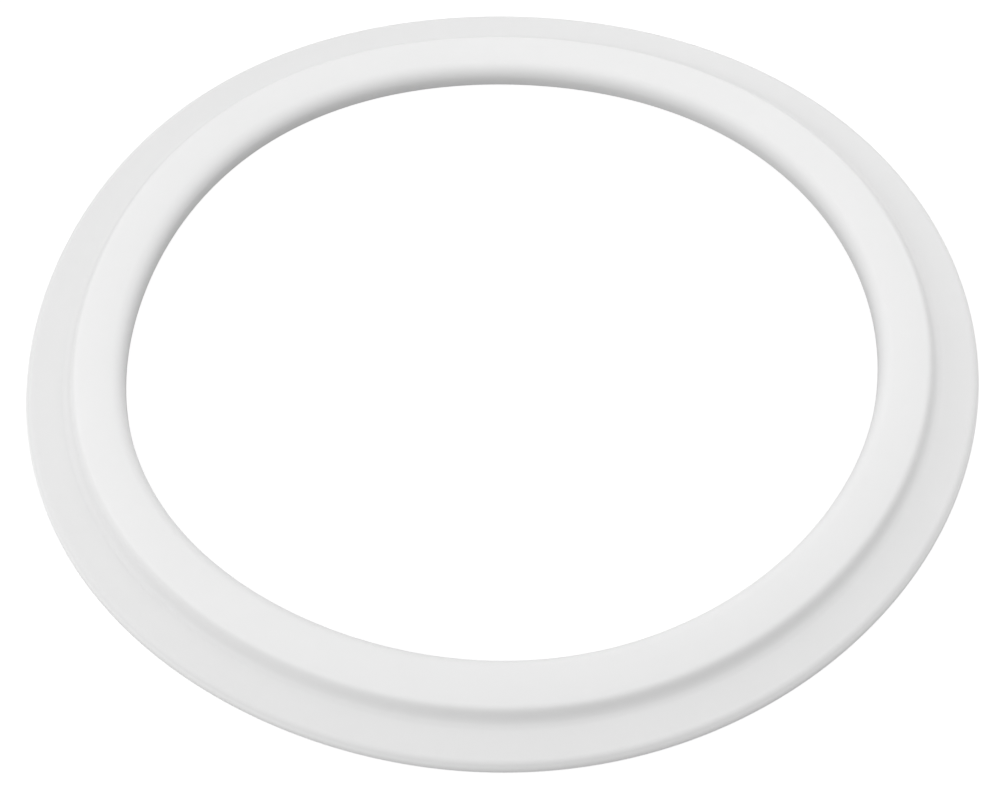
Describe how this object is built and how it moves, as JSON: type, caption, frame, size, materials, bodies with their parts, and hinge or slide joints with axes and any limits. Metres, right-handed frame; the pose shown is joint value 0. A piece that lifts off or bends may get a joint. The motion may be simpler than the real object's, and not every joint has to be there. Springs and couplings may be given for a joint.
{
  "type": "stepped o-ring seal",
  "caption": "Stepped sealing ring of soft white silicone: a raised, gently crowned band round the bore and a thin flange round the outside, with a flat underside.",
  "frame": {"origin": "centre of the bore, at the height of the flat underside", "axes": "+Z along the ring's axis, from the flat underside towards the raised band; X and Y lie in the underside, and any direction across the ring may be X"},
  "size_m": [0.1, 0.1, 0.0026],
  "materials": {
    "white_silicone": "satin"
  },
  "bodies": {
    "root": {"seal_ring": "white_silicone"}
  },
  "joints": []
}
